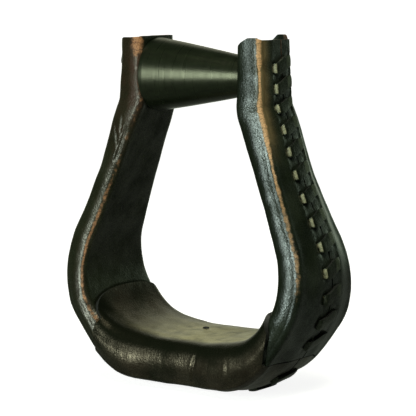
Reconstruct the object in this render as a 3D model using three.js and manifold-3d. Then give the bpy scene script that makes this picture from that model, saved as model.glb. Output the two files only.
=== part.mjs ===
// A western stirrup: bent hardwood covered in leather, the covers laced shut along the outer face,
// with a turned wooden roller on a bolt between the tops of the two legs.
// Millimetres, +Z up, X along the roller, front at -Y, origin under the middle of the tread.
import * as THREE from 'three';
import { mergeVertices } from 'three/addons/utils/BufferGeometryUtils.js';
import Module from 'manifold-3d';

const wasm = await Module();
wasm.setup();

// Inside outline of the finished stirrup, from the middle of the tread up to the top of a leg
const footHalfWidth = 60;
const neckHalfGap = 29.4;
const floorRadius = 33.5;
const bellRadius = 45;
const neckRadius = 25;
const legTopHeight = 154;
const neckLength = 36;
const neckCornerHeight = legTopHeight - neckLength;

// Thickness over the leather, from the inside outline to the outer face
const treadThickness = 22.3;
const bellThickness = 13.4;
const legThickness = 12.4;
const shoulderThickness = 15.2;
const neckThickness = 13.8;
const treadTaperTurnShare = 0.6;
const bellTaperEndShare = 0.3;
const shoulderStartShare = 0.45;

// Half of the depth from front to back over the leather
const treadHalfDepth = 29.2;
const bellHalfDepth = 29.8;
const shoulderHalfDepth = 16;
const neckHalfDepth = 14.7;
const waistStartShare = 0.16;
const waistFadeShare = 0.53;
const waistFadePower = 1.15;
const neckDrawnShare = 0.2;

// Leather, wood and the clearance between pieces that touch
const leather = 2.4;
const seatGap = 0.35;
const outerEdgeRadius = 3;
const outerSetback = 1.2;
const legEdgeRadius = 3.6;
const treadFrontEdgeRadius = 7;
const treadBackEdgeRadius = 3.6;
const bandBulge = 0.6;
const bandSetbackShare = 0.3;
const treadDome = 0.6;
const domeEdgeShare = 0.4;
const stripThickness = 8;
const woodChamfer = 1.4;
const chamferMostShare = 0.33;
const woodRoundShares = [[0.3, 0.3], [0, 1]];
const blockEndShare = 0.4;

// Lacing: a flat thong whipped through two rows of slits
const laceThickness = 1.4;
const laceSlitWidth = 5;
const laceStrapWidth = 6.8;
const laceBend = 0.85;
const laceClearance = 0.5;
const legPitchTop = 10.2;
const legPitchGrowth = 0.5;
const treadPitch = 14;
const laceRowHalfSpacing = 6.5;
const laceSlant = 1.7;
const slitClearance = 0.35;
const legLaceOffset = 2;
const legLaceTop = 12.8;
const laceEndMargin = 4.4;
const seamOpening = 1;
const crownShoulder = 0.4;
const crownSlopeShare = 0.5;
const crownSlopeRiseShare = 0.35;

// How the tread cover ends over the leg covers
const seamLapShare = 0.42;
const wideOuterLapShare = 0.4;
const narrowOuterLapShare = 0.32;
const rightWideCornerLapShare = 0.72;
const leftWideCornerLapShare = 0.6;
const narrowCornerLapShare = 0.46;
const tongueLapShare = 0.74;
const squareTonguePower = 3;
const roundTonguePower = 2;
const bandLapClimbShare = 0.33;
const cornerLapClimbShare = 0.67;
const lapLength = 8;
const lapRise = 2;
const lapClearance = 0.8;
const levelTreadShare = 0.45;
const riseEndShare = 1.25;
const lapRowsLength = 4;
const skiveStep = 0.8;
const lapRowShare = 0.35;

// Rim of the leg covers, as heights over the nominal top of the leg
const rightFrontRise = 0.6;
const rightBackRise = 1.8;
const leftRimRise = 0.4;
const frontOuterRimCut = 1;
const rightBackOuterRimCut = 6.4;
const seamRimDrop = 0.4;
const rightInnerRimDrop = 5.4;
const leftInnerRimDrop = 1.6;
const innerCutStartShare = 0.33;
const woodTopDrop = 6;

// Roller and the bolt that it turns on
const rollerDrop = 19.1;
const rollerBigRadius = 19.3;
const rollerReachShares = [0, 0.33, 0.67, 1];
const rollerRadiusShares = [1, 0.845, 0.67, 0.49];
const rollerEndClearance = 0.5;
const rollerEdgeRound = 0.8;
const boltRadius = 4;
const boltHeadRadius = 7.4;
const boltHeadThickness = 3.2;
const boltEndDrop = 0.3;
const washerRadius = 8.6;
const washerThickness = 1;
const counterboreRadius = 9.2;
const hardwareGap = 0.2;
const boreClearance = 0.3;
const sleeveWall = 1.2;
const runningClearance = 0.35;

// Screws that hold the tread block and the tack in the tread leather
const screwSpacing = 30;
const screwRadius = 1.7;
const screwHeadRadius = 3.6;
const screwHeadLand = 0.3;
const screwHeadDepth = 2.4;
const screwLength = 14;
const screwSink = 0.3;
const tackX = -7;
const tackY = 9.8;
const tackHeadRadius = 1.9;
const tackHeadHeight = 0.8;
const tackDomeShares = [[1, 0], [0.8, 0.6], [0.4, 0.92], [0, 1]];
const tackShankRadius = 0.8;
const tackLength = 9;

// Fineness of the facets
const arcStep = THREE.MathUtils.degToRad(9);
const cornerSteps = 3;
const innerFaceShares = [-0.86, -0.5, 0, 0.5, 0.86];
const treadRowShares = [0, 0.34, 0.67];
const legFootRowShares = [0, 0.34, 0.67];
const legRowShares = [0.16, 0.36, 0.58, 0.8];
const turnSegments = 36;
const smallTurnSegments = 16;
const screwSegments = 10;
const hexSides = 6;
const outerSteps = 600;
const cutOverrun = 2;

// The roller's axis and the undersides are placed from the sizes above
const crown = laceThickness + 2 * laceClearance - seatGap;
const laceProud = crown + slitClearance + laceThickness;
const treadTop = laceProud + treadThickness;
const legTop = treadTop + legTopHeight;
const rollerAxis = legTop - rollerDrop;
const woodInset = leather + seatGap;
const woodInner = neckHalfGap + woodInset;
const woodOuter = neckHalfGap + neckThickness - woodInset;
const crownHalfWidth = laceRowHalfSpacing + laceThickness / 2 + slitClearance + crownShoulder;

// Roller hardware, laid out along X outwards from the floor of the pocket in each leg
const sleeveRadius = boltRadius + boreClearance + sleeveWall;
const sleeveHalfLength = woodInner - hardwareGap;
const pocketDepth = washerThickness + boltHeadThickness + 2 * hardwareGap + boltEndDrop;
const pocketFloor = woodOuter - pocketDepth;
const washerSeat = pocketFloor + hardwareGap;
const headSeat = washerSeat + washerThickness + hardwareGap;
const screwPlaces = [-screwSpacing / 2, screwSpacing / 2];

// Inside outline as five stretches: tread, floor curve, bell curve, leaning leg, neck
const floorHalf = footHalfWidth - floorRadius;
const bellCentre = { x: footHalfWidth - bellRadius, z: treadTop + floorRadius };
const neckCorner = { x: neckHalfGap, z: treadTop + neckCornerHeight };
const cornerReach = Math.hypot(neckCorner.x - bellCentre.x, neckCorner.z - bellCentre.z);
const cornerAngle = Math.atan2(neckCorner.z - bellCentre.z, neckCorner.x - bellCentre.x);
const lean = cornerAngle - Math.acos(bellRadius / cornerReach);
const neckTangent = neckRadius * Math.tan(lean / 2);
const quarter = Math.PI / 2;
const floorArc = floorRadius * quarter;
const bellArc = bellRadius * lean;
const leanLength = Math.sqrt(cornerReach ** 2 - bellRadius ** 2) - neckTangent;
const neckArc = neckRadius * lean;
const floorStart = floorHalf;
const bellStart = floorStart + floorArc;
const leanStart = bellStart + bellArc;
const neckStart = leanStart + leanLength;
const neckEnd = neckStart + neckArc;
const topEnd = neckEnd + legTop - neckCorner.z - neckTangent;
const blockEnd = floorStart + floorArc * blockEndShare;

// Point and outward direction of the inside outline at a distance from the middle of the tread
function insideOutline(distance) {
  const side = Math.sign(distance) || 1;
  const along = Math.abs(distance);
  let angle = 0;
  let x = along;
  let z = treadTop;
  if (along <= floorStart) {
    return { x: side * x, z, nx: 0, nz: -1 };
  }
  if (along <= bellStart) {
    angle = (along - floorStart) / floorRadius;
    x = floorHalf + floorRadius * Math.sin(angle);
    z = bellCentre.z - floorRadius * Math.cos(angle);
    return { x: side * x, z, nx: side * Math.sin(angle), nz: -Math.cos(angle) };
  }
  if (along <= leanStart) {
    angle = (along - bellStart) / bellRadius;
    x = bellCentre.x + bellRadius * Math.cos(angle);
    z = bellCentre.z + bellRadius * Math.sin(angle);
    return { x: side * x, z, nx: side * Math.cos(angle), nz: Math.sin(angle) };
  }
  if (along <= neckStart) {
    const up = along - leanStart;
    x = bellCentre.x + bellRadius * Math.cos(lean) - up * Math.sin(lean);
    z = bellCentre.z + bellRadius * Math.sin(lean) + up * Math.cos(lean);
    return { x: side * x, z, nx: side * Math.cos(lean), nz: Math.sin(lean) };
  }
  if (along <= neckEnd) {
    angle = lean - (along - neckStart) / neckRadius;
    x = neckHalfGap + neckRadius * (1 - Math.cos(angle));
    z = neckCorner.z + neckTangent - neckRadius * Math.sin(angle);
    return { x: side * x, z, nx: side * Math.cos(angle), nz: Math.sin(angle) };
  }
  z = neckCorner.z + neckTangent + along - neckEnd;
  return { x: side * neckHalfGap, z, nx: side, nz: 0 };
}

// Thickness over the leather: thick at the tread, slim on the legs, fuller at the shoulder
function thicknessAt(distance) {
  const along = Math.abs(distance);
  const turn = (along - floorStart) / (floorArc * treadTaperTurnShare);
  const fade = Math.cos(quarter * THREE.MathUtils.clamp(turn, 0, 1)) ** 2;
  const slim = THREE.MathUtils.smoothstep(along, bellStart, leanStart + leanLength * bellTaperEndShare);
  const upper = THREE.MathUtils.lerp(bellThickness, legThickness, slim);
  const low = THREE.MathUtils.lerp(upper, treadThickness, fade);
  const settle = THREE.MathUtils.smoothstep(along, neckEnd, topEnd);
  const high = THREE.MathUtils.lerp(shoulderThickness, neckThickness, settle);
  const swell = THREE.MathUtils.smoothstep(along, leanStart + leanLength * shoulderStartShare, neckStart);
  return THREE.MathUtils.lerp(low, high, swell);
}

// Half of the depth: nearly even at the tread, drawn in above the bell and once more at the neck
function halfDepthAt(distance) {
  const along = Math.abs(distance);
  const spread = THREE.MathUtils.smoothstep(along, 0, bellStart);
  const waistStart = treadTop + neckCornerHeight * waistStartShare;
  const rise = (insideOutline(along).z - waistStart) / (neckCorner.z - waistStart);
  const drawn = Math.exp(-((Math.max(rise, 0) / waistFadeShare) ** waistFadePower));
  const low = THREE.MathUtils.lerp(treadHalfDepth, bellHalfDepth, spread);
  const neckFull = THREE.MathUtils.lerp(neckEnd, topEnd, neckDrawnShare);
  const narrowing = THREE.MathUtils.smoothstep(along, neckStart, neckFull);
  const high = THREE.MathUtils.lerp(shoulderHalfDepth, neckHalfDepth, narrowing);
  return THREE.MathUtils.lerp(high, low, drawn);
}

// Radius of an edge along the inner face: rolled over wide on the front of the tread
function innerRadiusAt(distance, isFront) {
  const low = isFront ? treadFrontEdgeRadius : treadBackEdgeRadius;
  const climb = THREE.MathUtils.smoothstep(Math.abs(distance), floorStart, bellStart);
  return THREE.MathUtils.lerp(low, legEdgeRadius, climb);
}

// Height of the dome that the tread leather has between its two edges
function domeAt(distance, share) {
  const level = 1 - THREE.MathUtils.smoothstep(Math.abs(distance), floorStart, bellStart);
  return treadDome * level * THREE.MathUtils.smoothstep(1 - Math.abs(share), 0, domeEdgeShare);
}

// Place of a point: distance along the outline, height over the outer face, and Y
function place(distance, height, y) {
  const at = insideOutline(distance);
  const reach = thicknessAt(distance) + height;
  return new THREE.Vector3(at.x + at.nx * reach, y, at.z + at.nz * reach);
}

// Lengths walked along the outer face, at even steps along the inside outline
const stepLength = topEnd / outerSteps;
const outerWalk = [0];
for (let k = 0; k < outerSteps; k += 1) {
  const stride = place(stepLength * k, 0, 0).distanceTo(place(stepLength * (k + 1), 0, 0));
  outerWalk.push(outerWalk[k] + stride);
}

function outerLength(distance) {
  const k = Math.min(Math.floor(distance / stepLength), outerSteps - 1);
  return THREE.MathUtils.lerp(outerWalk[k], outerWalk[k + 1], distance / stepLength - k);
}

// Distance along the inside outline of a place that is named by its length along the outer face
function distanceAtOuter(outerDistance) {
  const walked = Math.abs(outerDistance);
  const k = Math.max(outerWalk.findIndex((length) => length > walked) - 1, 0);
  const part = (walked - outerWalk[k]) / (outerWalk[k + 1] - outerWalk[k]);
  return Math.sign(outerDistance) * stepLength * (k + part);
}

// Distances of the rows of facets, shared by every piece that follows the outline
const rowDistances = [0, floorHalf];
for (let k = 1, n = Math.ceil(quarter / arcStep); k <= n; k += 1) {
  rowDistances.push(floorStart + (floorArc * k) / n);
}
for (let k = 1, n = Math.ceil(lean / arcStep); k <= n; k += 1) {
  rowDistances.push(bellStart + (bellArc * k) / n);
}
for (const share of legRowShares) {
  rowDistances.push(leanStart + leanLength * share);
}
for (let k = 0, n = Math.ceil(lean / arcStep); k <= n; k += 1) {
  rowDistances.push(neckStart + (neckArc * k) / n);
}
rowDistances.push((neckEnd + topEnd) / 2);

// Geometry from loose triangles, turned to face out
function bodyFromTriangles(corners) {
  const geometry = new THREE.BufferGeometry();
  geometry.setAttribute('position', new THREE.Float32BufferAttribute(corners, 3));
  const merged = mergeVertices(geometry);
  const at = merged.getAttribute('position');
  const index = merged.getIndex();
  const [a, b, c] = [new THREE.Vector3(), new THREE.Vector3(), new THREE.Vector3()];
  let volume = 0;
  for (let i = 0; i < index.count; i += 3) {
    a.fromBufferAttribute(at, index.getX(i));
    b.fromBufferAttribute(at, index.getX(i + 1));
    c.fromBufferAttribute(at, index.getX(i + 2));
    volume += a.dot(b.cross(c));
  }
  if (volume < 0) {
    const turned = [];
    for (let i = 0; i < index.count; i += 3) {
      turned.push(index.getX(i), index.getX(i + 2), index.getX(i + 1));
    }
    merged.setIndex(turned);
  }
  return merged;
}

function pushQuad(corners, a, b, c, d) {
  for (const point of [a, b, c, a, c, d]) {
    corners.push(point.x, point.y, point.z);
  }
}

// Solid through a row of closed sections, capped at both ends
function loft(sections) {
  const corners = [];
  const count = sections[0].length;
  for (let row = 0; row + 1 < sections.length; row += 1) {
    for (let i = 0; i < count; i += 1) {
      const next = (i + 1) % count;
      pushQuad(
        corners, sections[row][i], sections[row][next], sections[row + 1][next], sections[row + 1][i],
      );
    }
  }
  for (let i = 1; i + 1 < count; i += 1) {
    for (const [section, order] of [[sections[0], [0, i + 1, i]], [sections.at(-1), [0, i, i + 1]]]) {
      for (const k of order) {
        corners.push(section[k].x, section[k].y, section[k].z);
      }
    }
  }
  return bodyFromTriangles(corners);
}

// Sheet of leather from two grids of points, its face and its flesh side, closed along all edges
function sheet(face, flesh) {
  const corners = [];
  const rows = face.length;
  const count = face[0].length;
  for (let r = 0; r + 1 < rows; r += 1) {
    for (let i = 0; i + 1 < count; i += 1) {
      pushQuad(corners, face[r][i], face[r][i + 1], face[r + 1][i + 1], face[r + 1][i]);
      pushQuad(corners, flesh[r][i + 1], flesh[r][i], flesh[r + 1][i], flesh[r + 1][i + 1]);
    }
    pushQuad(corners, face[r][0], face[r + 1][0], flesh[r + 1][0], flesh[r][0]);
    const last = count - 1;
    pushQuad(corners, face[r + 1][last], face[r][last], flesh[r][last], flesh[r + 1][last]);
  }
  for (let i = 0; i + 1 < count; i += 1) {
    pushQuad(corners, face[0][i + 1], face[0][i], flesh[0][i], flesh[0][i + 1]);
    const last = rows - 1;
    pushQuad(corners, face[last][i], face[last][i + 1], flesh[last][i + 1], flesh[last][i]);
  }
  return bodyFromTriangles(corners);
}

function toSolid(geometry) {
  const plain = geometry.clone();
  plain.deleteAttribute('normal');
  plain.deleteAttribute('uv');
  const merged = mergeVertices(plain);
  return new wasm.Manifold(new wasm.Mesh({
    numProp: 3,
    vertProperties: new Float32Array(merged.getAttribute('position').array),
    triVerts: new Uint32Array(merged.getIndex().array),
  }));
}

function toGeometry(solid) {
  const mesh = solid.getMesh();
  const geometry = new THREE.BufferGeometry();
  geometry.setAttribute('position', new THREE.Float32BufferAttribute(mesh.vertProperties, 3));
  geometry.setIndex(Array.from(mesh.triVerts));
  return geometry;
}

function cut(geometry, cutters) {
  let solid = toSolid(geometry);
  for (const cutter of cutters) {
    solid = solid.subtract(toSolid(cutter));
  }
  return toGeometry(solid);
}

// Bar of round section along X between two places
function roundBar(radius, xStart, xEnd, z, segments = smallTurnSegments) {
  const geometry = new THREE.CylinderGeometry(radius, radius, xEnd - xStart, segments);
  geometry.rotateZ(-quarter);
  geometry.translate((xStart + xEnd) / 2, 0, z);
  return geometry;
}

// Turned piece: a profile of [radius, length] points spun about its axis, then laid along X
function turnedAlongX(profile, z, segments) {
  const points = profile.map(([radius, x]) => new THREE.Vector2(radius, x));
  const geometry = new THREE.LatheGeometry(points, segments);
  geometry.rotateZ(-quarter);
  geometry.translate(0, 0, z);
  return geometry;
}

// Marks round a cover's section, from the seam round the front, the inner face and the back
const sectionMarks = [];
for (const side of [-1, 1]) {
  const half = [{ kind: 'seam', side }, { kind: 'plateau', side }, { kind: 'slope', side }];
  for (let k = 0; k <= cornerSteps; k += 1) {
    half.push({ kind: 'outerCorner', side, turn: (quarter * k) / cornerSteps });
  }
  half.push({ kind: 'band', side });
  for (let k = 0; k <= cornerSteps; k += 1) {
    half.push({ kind: 'innerCorner', side, turn: (quarter * k) / cornerSteps });
  }
  if (side < 0) {
    const inner = innerFaceShares.map((share) => ({ kind: 'inner', side: Math.sign(share), share }));
    sectionMarks.push(...half, ...inner);
  } else {
    sectionMarks.push(...half.reverse());
  }
}

// Height and Y of a mark, for a surface that lies a given depth under the nominal leather
function markPlace(mark, distance, inset, laceOffset, frontSide) {
  const thickness = thicknessAt(distance);
  const halfDepth = halfDepthAt(distance);
  const outerStart = halfDepth - outerSetback - outerEdgeRadius;
  const plateau = laceOffset + mark.side * crownHalfWidth;
  if (mark.kind === 'seam') {
    return [crown - inset, laceOffset + (mark.side * seamOpening) / 2];
  }
  if (mark.kind === 'plateau') {
    return [crown - inset, plateau];
  }
  if (mark.kind === 'slope') {
    const y = THREE.MathUtils.lerp(plateau, mark.side * outerStart, crownSlopeShare);
    return [crown * crownSlopeRiseShare - inset, y];
  }
  if (mark.kind === 'outerCorner') {
    const radius = outerEdgeRadius - inset;
    const y = mark.side * (outerStart + radius * Math.sin(mark.turn));
    return [-outerEdgeRadius + radius * Math.cos(mark.turn), y];
  }
  if (mark.kind === 'band') {
    const reach = halfDepth + bandBulge - outerSetback * bandSetbackShare - inset;
    return [-thickness / 2, mark.side * reach];
  }
  const edgeRadius = innerRadiusAt(distance, mark.side === frontSide);
  if (mark.kind === 'innerCorner') {
    const radius = edgeRadius - inset;
    const y = mark.side * (halfDepth - edgeRadius + radius * Math.cos(mark.turn));
    return [-thickness + edgeRadius - radius * Math.sin(mark.turn), y];
  }
  const height = -thickness + inset - domeAt(distance, mark.share);
  return [height, Math.abs(mark.share) * mark.side * (halfDepth - edgeRadius)];
}

// Where the tread cover ends on each mark. It climbs from the laced face to the inner face, more on
// one side, the front of the right leg and the back of the left; the tongue is squarer there too
function lapEdge(mark, wideSide, isRight) {
  const isWide = mark.side === wideSide;
  const wideCorner = isRight ? rightWideCornerLapShare : leftWideCornerLapShare;
  const corner = isWide ? wideCorner : narrowCornerLapShare;
  const outer = isWide ? wideOuterLapShare : narrowOuterLapShare;
  let share = outer;
  if (mark.kind === 'inner') {
    const power = isWide ? squareTonguePower : roundTonguePower;
    const arch = Math.sqrt(1 - Math.abs(mark.share) ** power);
    share = THREE.MathUtils.lerp(corner, tongueLapShare, arch);
  } else if (mark.kind === 'innerCorner') {
    const climb = THREE.MathUtils.lerp(cornerLapClimbShare, 1, mark.turn / quarter);
    share = THREE.MathUtils.lerp(outer, corner, climb);
  } else if (mark.kind === 'band') {
    share = THREE.MathUtils.lerp(outer, corner, bandLapClimbShare);
  } else if (mark.kind === 'slope') {
    share = (seamLapShare + outer) / 2;
  } else if (mark.kind !== 'outerCorner') {
    share = seamLapShare;
  }
  return floorStart + floorArc * share;
}

// The tread cover overlaps the leg covers on the bands and the inner face, and meets them edge to
// edge on the laced face
function overlaps(mark) {
  const isOuterCorner = mark.kind === 'outerCorner' && mark.turn < quarter;
  return !isOuterCorner && !['seam', 'plateau', 'slope'].includes(mark.kind);
}

// It rises from the level middle of the tread towards the laps, to lie over the leg covers there; on
// the outer corner the last mark before the overlap rises with it
function riseAt(mark, distance) {
  const isRaised = overlaps(mark) || (mark.kind === 'outerCorner' && mark.turn > quarter / 2);
  const [from, to] = [levelTreadShare, riseEndShare].map((share) => floorHalf * share);
  return isRaised ? lapRise * THREE.MathUtils.smoothstep(distance, from, to) : 0;
}

// Height of the rim over the nominal top of a leg, by mark; the right leg's back is at +Y
function rimRise(mark, isRight) {
  const isRightBack = isRight && mark.side > 0;
  const rightHigh = isRightBack ? rightBackRise : rightFrontRise;
  const high = isRight ? rightHigh : leftRimRise;
  const outer = high - (isRightBack ? rightBackOuterRimCut : frontOuterRimCut);
  const inner = isRight ? -rightInnerRimDrop : -leftInnerRimDrop;
  if (mark.kind === 'band') {
    return high;
  }
  if (mark.kind === 'innerCorner') {
    const share = THREE.MathUtils.lerp(innerCutStartShare, 1, mark.turn / quarter);
    return THREE.MathUtils.lerp(high, inner, share);
  }
  if (mark.kind === 'outerCorner') {
    return THREE.MathUtils.lerp(outer, high, mark.turn / quarter);
  }
  if (mark.kind === 'slope') {
    return outer;
  }
  return mark.kind === 'inner' ? inner : -seamRimDrop;
}

// Grids of points of a cover's face and of its flesh side, from the rows that each mark asks for
function coverGrids(rowsOf, laceOffset, frontSide, fleshInset) {
  const columns = sectionMarks.map((mark) => rowsOf(mark).map((row) => {
    const [faceHeight, faceY] = markPlace(mark, row.distance, row.inset, laceOffset, frontSide);
    const [fleshHeight, fleshY] = markPlace(
      mark, row.distance, fleshInset(row), laceOffset, frontSide,
    );
    return [place(row.distance, faceHeight, faceY), place(row.distance, fleshHeight, fleshY)];
  }));
  return [0, 1].map((layer) => columns[0].map((_, r) => columns.map((column) => column[r][layer])));
}

// Slit for the thong through a cover, at a length along the outer face and a Y
function slit(outerDistance, y) {
  const halfLength = laceSlitWidth / 2 + slitClearance;
  const halfWidth = laceThickness / 2 + slitClearance;
  const [low, high] = [-halfLength, halfLength].map((reach) => distanceAtOuter(outerDistance + reach));
  const sections = [-leather - seatGap, crown + cutOverrun].map((height) => [
    place(low, height, y - halfWidth),
    place(high, height, y - halfWidth),
    place(high, height, y + halfWidth),
    place(low, height, y + halfWidth),
  ]);
  return loft(sections);
}

// Slits of a run of stitches: the front one of a stitch lies low, the back one further along
function stitchSlits(stitches, offset) {
  return stitches.flatMap((middle) => [-1, 1].map((side) => (
    slit(middle + side * laceSlant, offset + side * laceRowHalfSpacing)
  )));
}

// Stitches along the outer face: close together at the neck, wider apart further down
const seamOuter = outerLength(floorStart + floorArc * seamLapShare);
const legStitchTop = outerLength(topEnd) - legLaceTop;
const stitchEnd = laceSlant + laceSlitWidth / 2 + laceEndMargin;
const legStitches = [];
let legPitch = legPitchTop;
for (let at = legStitchTop; at > seamOuter + stitchEnd; at -= legPitch - legPitchGrowth) {
  legStitches.unshift(at);
  legPitch += legPitchGrowth;
}
const treadStitchCount = Math.floor((2 * (seamOuter - stitchEnd)) / treadPitch);
const treadStitches = [];
for (let k = 0; k <= treadStitchCount; k += 1) {
  treadStitches.push((k - treadStitchCount / 2) * treadPitch);
}

// Leg cover, modelled on the right leg: skived thin under the tread cover, rim cut to a saddle
function legCover(isRight) {
  const tongueTop = floorStart + floorArc * tongueLapShare + lapClearance + 2 * skiveStep;
  const upperRows = rowDistances.filter((d) => d > tongueTop);
  const rowsOf = (mark) => {
    const edge = lapEdge(mark, -1, isRight);
    const thinAt = (distance) => (
      riseAt(mark, distance) > 0 ? leather - riseAt(mark, distance) + lapClearance : 0);
    const stepFoot = overlaps(mark) ? edge + lapClearance : edge + seatGap + skiveStep * (1 - lapRowShare);
    const stepTop = edge + lapClearance + skiveStep;
    const start = overlaps(mark) ? edge - lapLength : edge + seatGap;
    const middle = overlaps(mark) ? edge - lapLength / 2 : (start + stepFoot) / 2;
    const rows = [start, middle, stepFoot].map((distance) => ({ distance, inset: thinAt(distance) }));
    for (const share of legFootRowShares) {
      rows.push({ distance: THREE.MathUtils.lerp(stepTop, upperRows[0], share), inset: 0 });
    }
    rows.push(...upperRows.map((distance) => ({ distance, inset: 0 })));
    rows.push({ distance: topEnd + rimRise(mark, isRight), inset: 0 });
    return rows;
  };
  const [face, flesh] = coverGrids(rowsOf, legLaceOffset, isRight ? -1 : 1, () => leather);
  const body = sheet(face, flesh);
  const sleeveHole = roundBar(sleeveRadius + boreClearance, 0, woodInner, rollerAxis);
  return cut(body, [...stitchSlits(legStitches, legLaceOffset), sleeveHole]);
}

// Tread cover, wrapped round the tread from below, its two ends drawn up as tongues inside the legs
function treadCover() {
  const halfRows = (mark, wideSide) => {
    const edge = lapEdge(mark, wideSide, wideSide < 0);
    const lapStart = edge - lapLength - seatGap;
    const curveEnd = lapStart - lapRowsLength;
    const curve = treadRowShares.map((share) => THREE.MathUtils.lerp(floorHalf, curveEnd, share));
    const level = floorHalf * levelTreadShare;
    const distances = [0, level, ...curve, curveEnd, lapStart, edge - lapLength / 2, edge];
    return distances.map((distance) => ({ distance, inset: -riseAt(mark, distance) }));
  };
  const rowsOf = (mark) => {
    const left = halfRows(mark, 1).slice(1).reverse();
    return [...left.map((row) => ({ ...row, distance: -row.distance })), ...halfRows(mark, -1)];
  };
  const [face, flesh] = coverGrids(rowsOf, 0, -1, (row) => row.inset + leather);
  const body = sheet(face, flesh);
  const hole = tackHole(treadTop - leather - seatGap, treadTop + cutOverrun);
  return cut(body, [...stitchSlits(treadStitches, 0), hole]);
}

// Thong: over the seam from the front row to the back row, down a slit, and back underneath
function lace(stitches, offset) {
  const over = crown + slitClearance + laceThickness / 2;
  const under = (crown - leather - woodInset) / 2;
  const front = -laceRowHalfSpacing;
  const back = laceRowHalfSpacing;
  const path = [];
  const add = (outerDistance, y, height, tiltY, tiltHeight, width) => {
    path.push({ outerDistance, y, height, tiltY, tiltHeight, width });
  };
  const diagonal = Math.SQRT1_2;
  const miter = 1 / Math.cos(quarter / 4);
  const bendOut = [Math.sin(quarter / 4) * miter, Math.cos(quarter / 4) * miter];
  for (const [k, middle] of stitches.entries()) {
    const low = middle - laceSlant;
    const high = middle + laceSlant;
    if (k === 0) {
      add(low - laceSlant, 0, under, 0, -1, laceSlitWidth);
    } else {
      add((stitches[k - 1] + middle) / 2, 0, under, 0, -1, laceSlitWidth);
    }
    add(low, front + laceBend, under, -bendOut[0], -bendOut[1], laceSlitWidth);
    add(low, front, under + laceBend, -bendOut[1], -bendOut[0], laceSlitWidth);
    add(low, front, over - laceBend, -bendOut[1], bendOut[0], laceSlitWidth);
    add(low, front + laceBend, over, -bendOut[0], bendOut[1], laceSlitWidth);
    add(middle, 0, over, 0, 1, laceStrapWidth);
    add(high, back - laceBend, over, bendOut[0], bendOut[1], laceSlitWidth);
    add(high, back, over - laceBend, bendOut[1], bendOut[0], laceSlitWidth);
    add(high, back, under + laceBend, bendOut[1], -bendOut[0], laceSlitWidth);
    add(high, back - laceBend, under, bendOut[0], -bendOut[1], laceSlitWidth);
    if (k === stitches.length - 1) {
      add(high + laceSlant, 0, under, 0, -1, laceSlitWidth);
    }
  }
  const half = laceThickness / 2;
  const sections = path.map((p) => {
    const ends = [p.outerDistance - p.width / 2, p.outerDistance + p.width / 2].map(distanceAtOuter);
    const outside = [p.height + p.tiltHeight * half, offset + p.y + p.tiltY * half];
    const inside = [p.height - p.tiltHeight * half, offset + p.y - p.tiltY * half];
    return [
      place(ends[0], ...outside),
      place(ends[1], ...outside),
      place(ends[1], ...inside),
      place(ends[0], ...inside),
    ];
  });
  return loft(sections);
}

// Half of the wood's depth at a height, on its front or back: as far as the flesh side lets it
function woodReach(distance, height, isFront) {
  const thickness = thicknessAt(distance);
  const setback = outerSetback * (1 + height / thickness);
  const full = halfDepthAt(distance) - woodInset - setback;
  const radius = Math.max(innerRadiusAt(distance, isFront) - woodInset, woodChamfer);
  const short = Math.max(radius - (height + thickness - woodInset), 0);
  return full - radius + Math.sqrt(Math.max(radius ** 2 - short ** 2, 0));
}

// Section of the wood between two heights: chamfered on the outer face, rounded towards the inner
function woodSection(distance, outerHeight, innerHeight) {
  const tall = outerHeight - innerHeight;
  const chamfer = Math.min(woodChamfer, tall * chamferMostShare);
  const half = [-1, 1].map((side) => {
    const isFront = side < 0;
    const radius = Math.max(innerRadiusAt(distance, isFront) - woodInset, woodChamfer);
    const rounded = Math.min(radius, tall - chamfer);
    const full = woodReach(distance, innerHeight + rounded, isFront);
    const outline = [
      [outerHeight, woodReach(distance, outerHeight, isFront) - chamfer],
      [outerHeight - chamfer, woodReach(distance, outerHeight - chamfer, isFront)],
      [innerHeight + rounded, full],
    ];
    for (const [up, away] of woodRoundShares) {
      const height = innerHeight + rounded * up;
      const reach = Math.min(woodReach(distance, height, isFront), full - chamfer * away);
      outline.push([height, reach]);
    }
    return outline.map(([height, reach]) => [height, side * reach]);
  });
  return [...half[0], ...half[1].reverse()].map(([height, y]) => place(distance, height, y));
}

// Bent strip: one length of hardwood, full thickness in the legs, housed for the block at the tread
function bentFrame() {
  const housing = -woodInset - stripThickness;
  const housingEnd = blockEnd + seatGap;
  const shoulder = housingEnd + skiveStep;
  const legRows = rowDistances.filter((d) => d > shoulder + skiveStep);
  const half = rowDistances.filter((d) => d < blockEnd).map((d) => [d, housing]);
  half.push([housingEnd, housing]);
  for (const d of [shoulder, ...legRows, topEnd - woodTopDrop]) {
    half.push([d, woodInset - thicknessAt(d)]);
  }
  const mirrored = half.slice(1).reverse().map(([d, inner]) => [-d, inner]);
  const strip = loft([...mirrored, ...half].map(([d, inner]) => woodSection(d, -woodInset, inner)));
  const outside = woodOuter + cutOverrun;
  const bore = roundBar(boltRadius + boreClearance, -outside, outside, rollerAxis);
  const pockets = [[-outside, -pocketFloor], [pocketFloor, outside]].map(([from, to]) => (
    roundBar(counterboreRadius, from, to, rollerAxis)
  ));
  return cut(strip, [bore, ...pockets, ...screwPlaces.map(screwHole)]);
}

// Block that fills the tread out to its full thickness
function treadBlock() {
  const bottom = -woodInset - stripThickness - seatGap;
  const half = rowDistances.filter((d) => d < blockEnd);
  half.push(blockEnd);
  const distances = [...half.slice(1).reverse().map((d) => -d), ...half];
  const block = loft(distances.map((d) => woodSection(d, bottom, -thicknessAt(d) + woodInset)));
  const tackBore = tackHole(treadTop - tackLength - seatGap, treadTop);
  return cut(block, [tackBore, ...screwPlaces.map(screwHole)]);
}

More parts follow.
